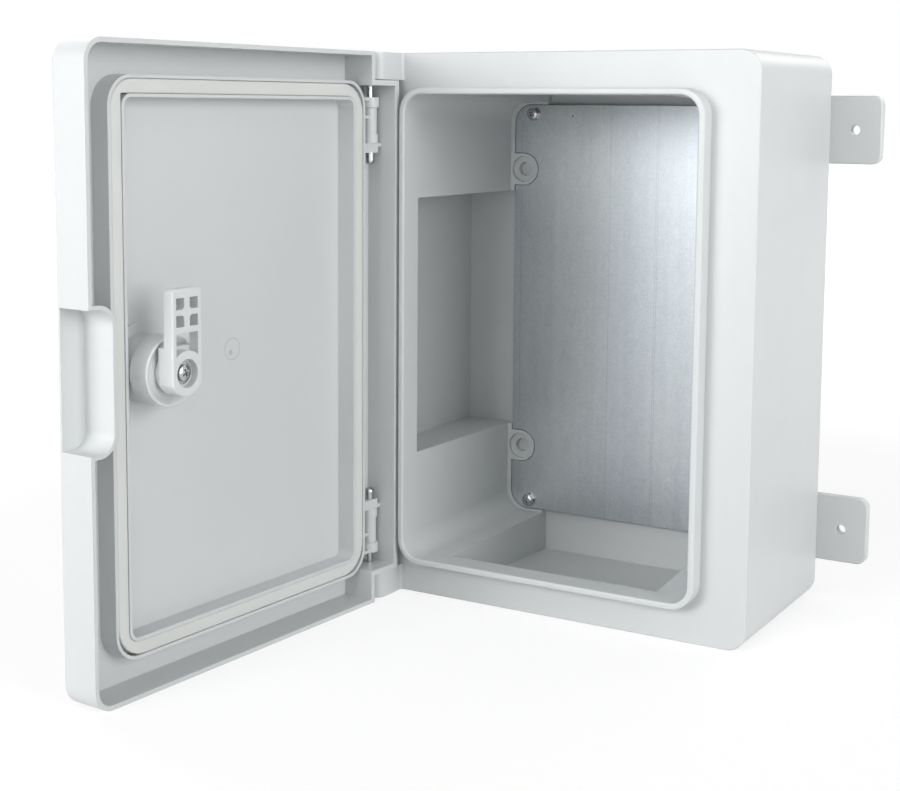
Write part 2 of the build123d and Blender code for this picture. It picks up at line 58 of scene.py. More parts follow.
class Value:
    """A number or colour that varies over a surface, as the output socket that carries it."""

    def __init__(self, recipe: "Recipe", socket: bpy.types.NodeSocket) -> None:
        """Args:
            recipe: The node tree that the socket belongs to.
            socket: The output socket.
        """
        self.recipe = recipe
        self.socket = socket

    def _maths(self, operation: str, first: Operand, second: Operand) -> "Value":
        """Adds one Math node.

        Args:
            operation: The node's operation.
            first: Its first number.
            second: Its second number.

        Returns:
            The node's result.
        """
        return self.recipe.add("ShaderNodeMath", {0: first, 1: second}, {"operation": operation})

    def __add__(self, other: Operand) -> "Value":
        """This plus another number."""
        return self._maths("ADD", self, other)

    def __radd__(self, other: Operand) -> "Value":
        """Another number plus this."""
        return self._maths("ADD", other, self)

    def __sub__(self, other: Operand) -> "Value":
        """This less another number."""
        return self._maths("SUBTRACT", self, other)

    def __rsub__(self, other: Operand) -> "Value":
        """Another number less this."""
        return self._maths("SUBTRACT", other, self)

    def __mul__(self, other: Operand) -> "Value":
        """This times another number."""
        return self._maths("MULTIPLY", self, other)

    def __rmul__(self, other: Operand) -> "Value":
        """Another number times this."""
        return self._maths("MULTIPLY", other, self)

    def __abs__(self) -> "Value":
        """The distance from nought."""
        return self._maths("ABSOLUTE", self, 0.0)

    def clamped(self, low: float, high: float) -> "Value":
        """Spreads the range from low to high over 0 to 1 and cuts off the rest.

        Args:
            low: The number that becomes 0.
            high: The number that becomes 1.

        Returns:
            The number between 0 and 1.
        """
        inputs = {"Value": self, "From Min": low, "From Max": high}
        return self.recipe.add("ShaderNodeMapRange", inputs, {"clamp": True})

    def line(self, width: float, core: float = LINE_CORE) -> "Value":
        """A mask that is 1 where this distance is small, and fades out over a width.

        Args:
            width: The distance at which it is nought.
            core: The share of the width over which it stays 1.

        Returns:
            The mask.
        """
        return 1.0 - self.clamped(core * width, width)


class Recipe:
    """The node tree of one finish, or of the surroundings."""

    def __init__(self, owner: Union[bpy.types.Material, bpy.types.World]) -> None:
        """Args:
            owner: What the nodes belong to.
        """
        owner.use_nodes = True
        self.owner = owner
        self.tree = owner.node_tree
        self.tree.nodes.clear()

    @classmethod
    def named(cls, name: str) -> "Recipe":
        """The empty recipe of a new material."""
        return cls(bpy.data.materials.new(name))

    def add(self, kind: str, inputs: Optional[dict] = None, settings: Optional[dict] = None,
            output: Union[int, str] = 0) -> Value:
        """Adds a node: its settings first, then its sockets.

        Args:
            kind: The node's type.
            inputs: Values or links by socket name or number.
            settings: Attributes of the node, and a ramp's stops under "stops".
            output: The name or number of the output that is wanted.

        Returns:
            That output.
        """
        node = self.tree.nodes.new(kind)
        for key, value in (settings or {}).items():
            if key == "stops":
                self._set_stops(node, value)
            else:
                setattr(node, key, value)
        for key, value in (inputs or {}).items():
            socket = node.inputs[key]
            if isinstance(value, Value):
                self.tree.links.new(value.socket, socket)
            else:
                socket.default_value = value
        return Value(self, node.outputs[output])

    @staticmethod
    def _set_stops(node: bpy.types.Node, stops: Sequence) -> None:
        """Gives a ramp its stops.

        Args:
            node: The ramp.
            stops: Pairs of position and colour.
        """
        ramp = node.color_ramp
        for index, (position, colour) in enumerate(stops):
            element = ramp.elements[index] if index < len(ramp.elements) else ramp.elements.new(position)
            element.position = position
            element.color = colour

    def place(self, scale: Sequence[float] = (1, 1, 1), turn: Sequence[float] = (0, 0, 0)) -> Value:
        """Object coordinates, in metres, stretched and turned.

        Args:
            scale: Stretch along X, Y and Z.
            turn: Angles about X, Y and Z, in radians.

        Returns:
            The coordinates.
        """
        point = self.add("ShaderNodeTexCoord", output="Object")
        return self.add("ShaderNodeMapping", {"Vector": point, "Scale": scale, "Rotation": turn})

    def noise(self, place: Value, scale: float, detail: float, roughness: float) -> Value:
        """Soft noise between 0 and 1.

        Args:
            place: The coordinates.
            scale: Features per metre.
            detail: Octaves.
            roughness: Strength of the finer octaves.

        Returns:
            The noise.
        """
        inputs = {"Vector": place, "Scale": scale, "Detail": detail, "Roughness": roughness}
        return self.add("ShaderNodeTexNoise", inputs)

    def mix(self, factor: Operand, first: Union[Value, Sequence[float]],
            second: Union[Value, Sequence[float]], blend: str = "MIX") -> Value:
        """Mixes two colours.

        Args:
            factor: The share of the second.
            first: A colour.
            second: A colour.
            blend: How the second is laid over the first.

        Returns:
            The mixed colour.
        """
        settings = {"data_type": "RGBA", "blend_type": blend}
        return self.add("ShaderNodeMix", {0: factor, 6: first, 7: second}, settings, output=2)

    def distance(self, place: Value, centre: Sequence[float]) -> Value:
        """How far each point is from a centre.

        Args:
            place: The coordinates.
            centre: The centre, in metres.

        Returns:
            The distance in metres.
        """
        return self._of_vectors("DISTANCE", place, centre)

    def _of_vectors(self, operation: str, first: Value, second: Union[Value, Sequence[float]]) -> Value:
        """The number that one Vector Math node makes of two vectors.

        Args:
            operation: The node's operation.
            first: A vector.
            second: A vector.

        Returns:
            The number.
        """
        return self.add("ShaderNodeVectorMath", {0: first, 1: second}, {"operation": operation}, "Value")

    def axes(self, place: Value) -> dict[str, Value]:
        """The X, Y and Z of coordinates.

        Args:
            place: The coordinates.

        Returns:
            The three numbers by name.
        """
        outputs = self.add("ShaderNodeSeparateXYZ", {"Vector": place}).socket.node.outputs
        return {name: Value(self, outputs[name]) for name in AXES}

    def marked(self, place: Value, marks: Sequence["Mark"]) -> Value:
        """A mask that is 1 on small round marks.

        Args:
            place: The coordinates.
            marks: The marks.

        Returns:
            The mask.
        """
        along = self.axes(place)
        spots = []
        for mark in marks:
            off = abs(self.distance(place, mark.centre) - mark.radius)
            depth = abs(along[mark.axis] - mark.centre[AXES.index(mark.axis)])
            spots.append(off.line(mark.width) * mark.strength * (1.0 - depth.clamped(*mark.reach)))
        return sum(spots)

    def rounded_edges(self, radius: float) -> tuple[Value, Value]:
        """Normals rounded over the edges, and a mask that is 1 on the edges.

        Args:
            radius: Radius of the rounding, in metres.

        Returns:
            The normals and the mask.
        """
        rounded = self.add("ShaderNodeBevel", {"Radius": radius}, {"samples": EDGE_SAMPLES})
        flat = self.add("ShaderNodeNewGeometry", output="Normal")
        match = self._of_vectors("DOT_PRODUCT", rounded, flat)
        return rounded, (1.0 - match).clamped(*EDGE_TURN)

    def bump(self, height: Value, strength: float, depth: float, normal: Optional[Value] = None) -> Value:
        """Normals with a relief.

        Args:
            height: The relief, between 0 and 1.
            strength: How much of it shows.
            depth: Its depth in metres.
            normal: The normals that it is laid over, where they aren't the mesh's own.

        Returns:
            The normals.
        """
        inputs = {"Strength": strength, "Distance": depth, "Height": height}
        return self.add("ShaderNodeBump", inputs if normal is None else {**inputs, "Normal": normal})

    def finish(self, sockets: dict) -> bpy.types.Material:
        """Adds the surface shader and the output.

        Args:
            sockets: Values or links of the shader's sockets.

        Returns:
            The finished material.
        """
        self.show(self.add("ShaderNodeBsdfPrincipled", sockets))
        return self.owner

    def show(self, surface: Value, kind: str = "ShaderNodeOutputMaterial") -> None:
        """Links a shader to the output.

        Args:
            surface: The shader.
            kind: The output node's type.
        """
        node = self.tree.nodes.new(kind)
        self.tree.links.new(surface.socket, node.inputs["Surface"])


def tint(colour: Sequence[float], factor: float) -> tuple[float, float, float, float]:
    """Makes a colour lighter or darker.

    Args:
        colour: Red, green and blue.
        factor: What each is multiplied by.

    Returns:
        The colour with an alpha of 1.
    """
    return (colour[0] * factor, colour[1] * factor, colour[2] * factor, 1.0)


@dataclass(frozen=True)
class Grain:
    """One layer of noise: features per metre, octaves, strength of the finer ones, stretch and tilt."""

    per_m: float
    detail: float = 2.0
    fineness: float = 0.5
    stretch: float = 1.0
    tilt: float = 0.0

    def on(self, recipe: Recipe) -> Value:
        """The noise between 0 and 1, on a finish."""
        place = recipe.place((1.0, 1.0, self.stretch), (0.0, self.tilt, 0.0))
        return recipe.noise(place, self.per_m, self.detail, self.fineness)


@dataclass(frozen=True)
class Mark:
    """A small round mark in a surface: a ring, or a spot where the radius is nought.

    It fades out over its reach along its axis, so that it stays on one side of a wall.
    """

    centre: tuple[float, float, float]
    radius: float
    width: float
    strength: float = 1.0
    axis: str = "X"
    reach: tuple[float, float] = (0.0013, 0.0020)


PANEL_MARKS = (
    Mark((-0.1542, -0.3168, 0.0008), 0.0072, 0.00060, 0.75),
    Mark((-0.1543, -0.3185, -0.0015), 0.0, 0.0026, 1.0),
)
SHEET_MARKS = (
    Mark((-0.0530, -0.0170, 0.1550), 0.0, 0.0010, 1.0),
    Mark((-0.0610, -0.0170, 0.1470), 0.0090, 0.00022, 0.18, axis="Y"),
)


@dataclass(frozen=True)
class FlashHighlight:
    """A ragged pale line along X, part moulding flash and part painted edge highlight, on an edge that lies at
    a given Y below a given Z.
    """

    start: float
    end: float
    y: float
    below: float
    width: float = 0.0008
    strength: float = 1.0
    ragged: Grain = Grain(160.0, 3.0, 0.7)
    full_length: float = 0.97
    full_width: float = 0.4
    fade: float = 0.001

    def mask(self, recipe: Recipe) -> Value:
        """A mask that is 1 on the flash and on its painted edge highlight.

        Args:
            recipe: The finish's node tree.

        Returns:
            The mask.
        """
        axes = recipe.axes(recipe.place())
        ragged = self.ragged.on(recipe).clamped(0.42, 0.60)
        along = abs(axes["X"] - (self.start + self.end) / 2).line((self.end - self.start) / 2, self.full_length)
        across = abs(axes["Y"] - self.y).line(self.width, self.full_width)
        under = (0.0 - axes["Z"]).clamped(-self.below, self.fade - self.below)
        return along * across * ragged * under * self.strength


# Pale lines along the pocket's front edge: part ragged moulding flash, part painted edge highlight.
POCKET_FLASH_HIGHLIGHTS = (
    FlashHighlight(-0.084, 0.084, -0.151, -0.160, strength=0.35),
    FlashHighlight(0.046, 0.0845, -0.151, -0.160, width=0.0013),
)


@dataclass(frozen=True)
class MouldedPlastic:
    """Opaque moulded plastic with an eroded tool texture, smoother edges and a painted highlight that makes the
    edges slightly brighter.
    """

    name: str
    colour: tuple[float, float, float]
    roughness: float = 0.38
    mottle: float = 0.03
    grain: Grain = Grain(2600.0, 2.0, 0.6)
    grain_depth: float = 0.00002
    edge_radius: float = 0.0005
    # Colour factor of the painted highlight along the edges.
    edge_highlight_lift: float = 1.08
    flow: Grain = Grain(9.0, 3.0, 0.55, 0.35)
    specks: Grain = Grain(900.0, 2.0, 0.6)
    speck_shade: float = 0.86
    sink: Grain = Grain(14.0, 1.0)
    sink_depth: float = 0.0006
    rubbed: Grain = Grain(38.0, 4.0, 0.6, 0.5)
    mark_shade: float = 0.35
    # Colour factor of the pale pocket edge line: moulding flash with a painted highlight.
    flash_highlight_shade: float = 0.92
    marks: tuple[Mark, ...] = ()
    flash_highlights: tuple[FlashHighlight, ...] = ()

    def build(self) -> bpy.types.Material:
        """The finish as a material."""
        recipe = Recipe.named(self.name)
        grain, sink = self.grain.on(recipe), self.sink.on(recipe)
        rubbed = self.rubbed.on(recipe).clamped(0.52, 0.78)
        rounded, edge = recipe.rounded_edges(self.edge_radius)
        shade = recipe.mix(self.flow.on(recipe), tint(self.colour, 1 - self.mottle),
                           tint(self.colour, 1 + self.mottle))
        specks = self.specks.on(recipe).clamped(0.70, 0.82)
        dusty = recipe.mix(specks * 0.35, shade, tint(self.colour, self.speck_shade))
        # Painted highlight: the colour is made brighter along the edges' Bevel mask.
        highlit = recipe.mix(edge * 0.8, dusty, tint(self.colour, self.edge_highlight_lift))
        if self.marks:
            marks = recipe.marked(recipe.place(), self.marks)
            highlit = recipe.mix(marks * 0.45, highlit, tint(self.colour, self.mark_shade))
            sink = sink - marks * 0.35
        for flash_highlight in self.flash_highlights:
            # Painted edge highlight, with moulding flash: near-white along the pocket's front edge.
            highlit = recipe.mix(flash_highlight.mask(recipe), highlit, tint(WHITE, self.flash_highlight_shade))
        gloss = self.roughness + rubbed * 0.07 - edge * 0.08 + (grain - 0.5) * 0.06
        soft = recipe.bump(sink, 0.25, self.sink_depth, rounded)
        fine = recipe.bump(grain, 0.35, self.grain_depth, soft)
        return recipe.finish({"Base Color": highlit, "Roughness": gloss, "Normal": fine,
                              "IOR": 1.5, "Coat Weight": 0.0})


@dataclass(frozen=True)
class GalvanisedSheet:
    """Zinc-coated sheet with an even speckle, upright roll lines, faint spangle and a few scratches."""

    name: str
    colour: tuple[float, float, float]
    roughness: float = 0.40
    edge_radius: float = 0.0004
    grain_depth: float = 0.00006
    marks: tuple[Mark, ...] = ()
    roll_lines: tuple[float, ...] = (-0.0196, 0.0189, 0.0205, -0.0975)
    roll_line_w: float = 0.0004
    cool: tuple[float, float, float] = (0.95, 0.96, 1.01)
    contrast: float = 0.24
    streaks: Grain = Grain(1100.0, 3.0, 0.7, 0.010)
    bands: Grain = Grain(75.0, 3.0, 0.6, 0.03)
    rolled: Grain = Grain(22.0, 2.0, 0.5, 0.06)
    grit: Grain = Grain(1500.0, 1.0, 0.6)
    spangle: Grain = Grain(210.0, 2.0, 0.6, 0.7)
    cloud: Grain = Grain(14.0, 4.0, 0.6, 0.4)
    scratch: Grain = Grain(420.0, 1.0, 0.5, 0.05, 0.5)
    scratch_shade: float = 1.35
    mark_shade: float = 0.12

    def build(self) -> bpy.types.Material:
        """The finish as a material."""
        recipe = Recipe.named(self.name)
        streaks, bands, grit = self.streaks.on(recipe), self.bands.on(recipe), self.grit.on(recipe)
        tone = ((streaks - 0.5) * 0.16 + (bands - 0.5) * 0.30 + (grit - 0.5) * 0.85
                + (self.spangle.on(recipe) - 0.5) * 0.25 + (self.cloud.on(recipe) - 0.5) * 0.30
                + 0.5 - self._lines(recipe) * 0.30)
        rolled = self.rolled.on(recipe).clamped(0.35, 0.65)
        cool = tuple(part * shift for part, shift in zip(self.colour, self.cool))
        hue = recipe.mix(rolled, tint(self.colour, 1.0), tint(cool, 1.0))
        shade = recipe.mix(tone.clamped(0.1, 0.9), tint(WHITE, 1 - self.contrast),
                           tint(WHITE, 1 + self.contrast))
        base = recipe.mix(1.0, hue, shade, "MULTIPLY")
        scratches = self.scratch.on(recipe).clamped(0.74, 0.80)
        worn = recipe.mix(scratches * 0.30, base, tint(self.colour, self.scratch_shade))
        marks = recipe.marked(recipe.place(), self.marks)
        spotted = recipe.mix(marks, worn, tint(self.colour, self.mark_shade))
        gloss = self.roughness + (streaks - 0.5) * 0.10 + (grit - 0.5) * 0.12 + (bands - 0.5) * 0.08
        rounded, _ = recipe.rounded_edges(self.edge_radius)
        bump = recipe.bump(streaks * 0.4 + grit * 0.5, 0.35, self.grain_depth, rounded)
        return recipe.finish({"Base Color": spotted, "Roughness": gloss, "Metallic": 0.88, "Normal": bump})

    def _lines(self, recipe: Recipe) -> Value:
        """A mask of the thin upright lines that rolling has left.

        Args:
            recipe: The finish's node tree.

        Returns:
            The mask.
        """
        across = recipe.axes(recipe.place())["X"]
        return sum(abs(across - line).line(self.roll_line_w) for line in self.roll_lines)


@dataclass(frozen=True)
class PlatedSteel:
    """Bright zinc or chrome plating with fine turning marks and a little soiling."""

    name: str
    colour: tuple[float, float, float]
    roughness: float = 0.16
    turning: Grain = Grain(900.0, 3.0, 0.6, 6.0)
    turning_depth: float = 0.00003
    soil: Grain = Grain(260.0, 4.0, 0.65)
    soil_shade: float = 0.78
    edge_radius: float = 0.0002

    def build(self) -> bpy.types.Material:
        """The finish as a material."""
        recipe = Recipe.named(self.name)
        turning, soil = self.turning.on(recipe), self.soil.on(recipe)
        base = recipe.mix(soil.clamped(0.45, 0.75), tint(self.colour, 1.06), tint(self.colour, self.soil_shade))
        gloss = self.roughness + (turning - 0.5) * 0.14 + soil.clamped(0.5, 0.8) * 0.14
        rounded, _ = recipe.rounded_edges(self.edge_radius)
        bump = recipe.bump(turning, 0.2, self.turning_depth, rounded)
        return recipe.finish({"Base Color": base, "Roughness": gloss, "Metallic": 1.0, "Normal": bump})


@dataclass(frozen=True)
class FoamStrip:
    """Poured foam with open pores darkened by painted shade, and a chalky, slightly uneven skin."""

    name: str
    colour: tuple[float, float, float]
    roughness: float = 0.85
    pore_per_m: float = 1700.0
    skin: Grain = Grain(420.0, 4.0, 0.65)
    skin_depth: float = 0.00012
    cloud: Grain = Grain(26.0, 3.0)
    # Colour factor of the painted shade in the pores.
    pore_painted_shade: float = 0.70

    def build(self) -> bpy.types.Material:
        """The finish as a material."""
        recipe = Recipe.named(self.name)
        pores = recipe.add("ShaderNodeTexVoronoi", {"Vector": recipe.place(), "Scale": self.pore_per_m},
                           {"feature": "F1"}, "Distance")
        pits, skin = pores.clamped(0.0, 0.32), self.skin.on(recipe)
        base = recipe.mix(self.cloud.on(recipe), tint(self.colour, 0.95), tint(self.colour, 1.04))
        # Painted shade: the colour is darkened towards the centres of the pores.
        pore_shaded = recipe.mix((1.0 - pits) * 0.22, base, tint(self.colour, self.pore_painted_shade))
        bump = recipe.bump(pits * 0.6 + skin * 0.8, 0.45, self.skin_depth)
        gloss = self.roughness + (skin - 0.5) * 0.12
        return recipe.finish({"Base Color": pore_shaded, "Roughness": gloss, "Normal": bump})


@dataclass(frozen=True)
class BlackRubber:
    """Moulded rubber with a dull bloom."""

    name: str
    colour: tuple[float, float, float]
    roughness: float = 0.62
    bloom: Grain = Grain(60.0, 4.0, 0.6)
    grain: Grain = Grain(1800.0)
    grain_depth: float = 0.00003

    def build(self) -> bpy.types.Material:
        """The finish as a material."""
        recipe = Recipe.named(self.name)
        bloom = self.bloom.on(recipe)
        base = recipe.mix(bloom.clamped(0.4, 0.8), tint(self.colour, 1.0), tint(self.colour, 1.9))
        bump = recipe.bump(self.grain.on(recipe), 0.3, self.grain_depth)
        gloss = self.roughness + (bloom - 0.5) * 0.2
        return recipe.finish({"Base Color": base, "Roughness": gloss, "Normal": bump})


class Slot(Enum):
    """The record's material slots, each with its finish."""

    LIGHT_GREY_PLASTIC = MouldedPlastic("light_grey_plastic", (0.588, 0.606, 0.608), marks=PANEL_MARKS,
                                        flash_highlights=POCKET_FLASH_HIGHLIGHTS)
    LOCK_PLASTIC = MouldedPlastic("lock_plastic", (0.620, 0.636, 0.642), roughness=0.40, mottle=0.012,
                                  grain_depth=0.000008, edge_radius=0.0004)
    GALVANISED_SHEET = GalvanisedSheet("galvanised_sheet", (0.474, 0.505, 0.512), marks=SHEET_MARKS)
    BRIGHT_STEEL = PlatedSteel("bright_steel", (0.44, 0.45, 0.46))
    FOAM_GASKET = FoamStrip("foam_gasket", (0.625, 0.640, 0.622))
    BLACK_RUBBER = BlackRubber("black_rubber", (0.020, 0.020, 0.021))


class Finishes:
    """Builds each finish once and hands it out."""

    def __init__(self) -> None:
        """Starts with no finish built."""
        self._made: dict[Slot, bpy.types.Material] = {}

    def material(self, slot: Slot) -> bpy.types.Material:
        """The material of a slot, built on first use."""
        if slot not in self._made:
            self._made[slot] = slot.value.build()
        return self._made[slot]

    def dress(self, piece: bpy.types.Object, slot: Slot) -> None:
        """Gives a piece one finish all over.

        Args:
            piece: The object.
            slot: The slot whose finish it takes.
        """
        piece.data.materials.clear()
        piece.data.materials.append(self.material(slot))

    def dress_nodes(self, slot: Slot, nodes: Iterable[str]) -> None:
        """Gives CAD nodes their finish.

        Args:
            slot: The slot whose finish they take.
            nodes: The nodes' names.
        """
        for name in nodes:
            self.dress(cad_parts[name], slot)
            log.info("%s: %s", name, slot.value.name)


class Workpiece:
    """A shape under construction, in metres."""

    def __init__(self) -> None:
        """Starts with nothing in it."""
        self.shape = bmesh.new()

    def put(self, turn: Matrix, place: Sequence[float] = (0.0, 0.0, 0.0),
            centre: Sequence[float] = (0.0, 0.0, 0.0)) -> "Workpiece":
        """Turns the shape about a centre and then shifts it.

        Args:
            turn: The turn, as a matrix.
            place: The shift.
            centre: The centre of the turn.

        Returns:
            This workpiece.
        """
        bmesh.ops.rotate(self.shape, verts=self.shape.verts[:], cent=centre, matrix=turn)
        bmesh.ops.translate(self.shape, verts=self.shape.verts[:], vec=place)
        return self

    def take(self, other: "Workpiece") -> None:
        """Adds another workpiece's shape and uses that workpiece up."""
        mesh = bpy.data.meshes.new("loose")
        other.shape.to_mesh(mesh)
        other.shape.free()
        self.shape.from_mesh(mesh)
        bpy.data.meshes.remove(mesh)

    def lathe(self, outline: Sequence[tuple[float, float]], steps: int = 32) -> None:
        """Spins an outline of radius and height once round Z.

        Args:
            outline: The corners of the outline.
            steps: How many faces go round.
        """
        corners = [self.shape.verts.new((radius, 0.0, height)) for radius, height in outline]
        edges = [self.shape.edges.new(pair) for pair in zip(corners, corners[1:])]
        bmesh.ops.spin(self.shape, geom=corners + edges, cent=(0.0, 0.0, 0.0), axis=(0.0, 0.0, 1.0),
                       angle=math.tau, steps=steps, use_merge=True)
        bmesh.ops.remove_doubles(self.shape, verts=self.shape.verts[:], dist=WELD)

    def hang(self, name: str, body: str, slot: Slot, finishes: Finishes,
             replaced: Sequence[str] = ()) -> None:
        """Makes the shape a piece of the object.

        Args:
            name: The piece's name.
            body: The CAD body that it moves with.
            slot: The slot of its finish.
            finishes: Where the finish comes from.
            replaced: The CAD nodes that it stands for.
        """
        bmesh.ops.remove_doubles(self.shape, verts=self.shape.verts[:], dist=WELD)
        bmesh.ops.recalc_face_normals(self.shape, faces=self.shape.faces[:])
        for face in self.shape.faces:
            face.smooth = True
        for edge in self.shape.edges:
            edge.smooth = edge.calc_face_angle(0.0) < SHARP_ANGLE
        mesh = bpy.data.meshes.new(name)
        self.shape.to_mesh(mesh)
        self.shape.free()
        piece = bpy.data.objects.new(name, mesh)
        bpy.context.scene.collection.objects.link(piece)
        finishes.dress(piece, slot)
        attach(piece, body)
        if replaced:
            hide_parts(*replaced)
        log.info("%s: %d faces, %s", name, len(mesh.polygons), slot.value.name)


@dataclass(frozen=True)
class CrossScrew:
    """A pan-head screw with a cross recess, built along +Z with its seat at the origin."""

    head_r: float
    head_h: float
    shank_r: float
    shank_l: float
    arm_l: float
    arm_w: float = 0.0011
    recess_h: float = 0.0017
    recess_taper: float = 0.62
    rim: float = 1.15
    crown: float = 0.5
    dome_stations: tuple[float, ...] = (0.72, 0.88, 0.97)
    flank: tuple[tuple[float, float], ...] = ((1.0, 0.4), (0.98, 0.0))

    def cut(self) -> Workpiece:
        """The screw as a workpiece of its own."""
        work = Workpiece()
        mouth_r = self.arm_l / 2 * self.rim
        crown = self.crown * self.head_h
        radii = [mouth_r] + [share * self.head_r for share in self.dome_stations]
        dome = [(radius, self.head_h - crown * (1 - math.sqrt(1 - (radius / self.head_r) ** 2)))
                for radius in radii]
        flank = [(out * self.head_r, up * self.head_h) for out, up in self.flank]
        shank = [(self.shank_r, 0.0), (self.shank_r, -self.shank_l), (0.0, -self.shank_l)]
        work.lathe(dome + flank + shank)
        rim = [edge for edge in work.shape.edges if edge.is_boundary]
        self._recess(work, rim, dome[0][1])
        return work

    def _recess(self, work: Workpiece, rim: list[bmesh.types.BMEdge], height: float) -> None:
        """Closes the crown round a cross and sinks the cross.

        Args:
            work: The workpiece.
            rim: The edges of the opening in the crown.
            height: The height of the crown.
        """
        shape = work.shape
        grid = bmesh.ops.create_grid(shape, x_segments=3, y_segments=3, size=1.0)["verts"]
        for vert in grid:
            vert.co = [math.copysign(self.arm_l if abs(value) > 0.5 else self.arm_w, value) / 2
                       for value in vert.co.xy] + [height]
        faces = list({face for vert in grid for face in vert.link_faces})
        corners = [face for face in faces if all(abs(v) > self.arm_w for v in face.calc_center_median().xy)]
        cross = [face for face in faces if face not in corners]
        bmesh.ops.delete(shape, geom=corners, context="FACES")
        loop = [edge for edge in shape.edges if edge.is_boundary and edge not in rim
                and any(face in cross for face in edge.link_faces)]
        bmesh.ops.triangle_fill(shape, use_beauty=True, edges=rim + loop, normal=(0.0, 0.0, 1.0))
        sunk = bmesh.ops.extrude_face_region(shape, geom=cross)["geom"]
        verts = [item for item in sunk if isinstance(item, bmesh.types.BMVert)]
        bmesh.ops.delete(shape, geom=[face for face in cross if face.is_valid], context="FACES_ONLY")
        bmesh.ops.scale(shape, vec=(self.recess_taper, self.recess_taper, 1.0), verts=verts)
        bmesh.ops.translate(shape, vec=(0.0, 0.0, -self.recess_h), verts=verts)


@dataclass(frozen=True)
class SplitWasher:
    """A split spring washer round Z, standing on the origin's plane with its ends a little apart."""

    outer_r: float = 0.0045
    bore_r: float = 0.00262
    height: float = 0.0011
    gap: float = 14.0
    steps: int = 36

    def wind(self) -> Workpiece:
        """The washer as a workpiece of its own."""
        work = Workpiece()
        radii = (self.bore_r, self.outer_r)
        section = [work.shape.verts.new((radius, 0.0, height))
                   for radius, height in ((radii[0], 0.0), (radii[1], 0.0), (radii[1], self.height),
                                          (radii[0], self.height))]
        edges = [work.shape.edges.new((section[i], section[i - 1])) for i in range(len(section))]
        bmesh.ops.spin(work.shape, geom=section + edges, cent=(0.0, 0.0, 0.0), axis=(0.0, 0.0, 1.0),
                       angle=math.radians(360.0 - self.gap), steps=self.steps)
        ends = [edge for edge in work.shape.edges if edge.is_boundary]
        bmesh.ops.holes_fill(work.shape, edges=ends, sides=len(section))
        return work


@dataclass
class Body:
    """The moulded box, its mounting plate, lugs and fasteners."""

    finishes: Finishes
    screw: CrossScrew = CrossScrew(0.0046, 0.0032, 0.0025, 0.0076, 0.0046)
    washer: SplitWasher = SplitWasher()
    screw_x: float = 0.087
    screw_z: float = 0.1565
    plate_y: float = -0.017
    flat_washer_t: float = 0.001
    turns: tuple[float, ...] = (12.0, 57.0, 31.0, 78.0)
    plastic_nodes: tuple[str, ...] = ("body_shell", "wall_lug_upper_left", "wall_lug_lower_left",
                                      "wall_lug_upper_right", "wall_lug_lower_right")
    steel_nodes: tuple[str, ...] = ("plate_washers", "lug_screws")

    def build(self) -> None:
        """Dresses the box and what is screwed to it."""
        self.finishes.dress_nodes(Slot.LIGHT_GREY_PLASTIC, self.plastic_nodes)
        self.finishes.dress_nodes(Slot.GALVANISED_SHEET, ("mounting_plate",))
        self.finishes.dress_nodes(Slot.BRIGHT_STEEL, self.steel_nodes)
        self._fasteners()

    def _fasteners(self) -> None:
        """The plate's screws and their split washers, each turned its own way."""
        screws, washers = Workpiece(), Workpiece()
        seat = self.plate_y - self.flat_washer_t
        signs = [(sx, sz) for sx in (-1, 1) for sz in (-1, 1)]
        for (sx, sz), turn in zip(signs, self.turns):
            facing = Matrix.Rotation(math.radians(90.0), 3, "X") @ Matrix.Rotation(math.radians(turn), 3, "Z")
            place = (sx * self.screw_x, seat, sz * self.screw_z)
            washers.take(self.washer.wind().put(facing, place))
            screws.take(self.screw.cut().put(facing, (place[0], seat - self.washer.height, place[2])))
        screws.hang("plate_cross_screws", "enclosure", Slot.BRIGHT_STEEL, self.finishes, ("plate_screws",))
        washers.hang("plate_split_washers", "enclosure", Slot.BRIGHT_STEEL, self.finishes,
                     ("plate_spring_washers",))


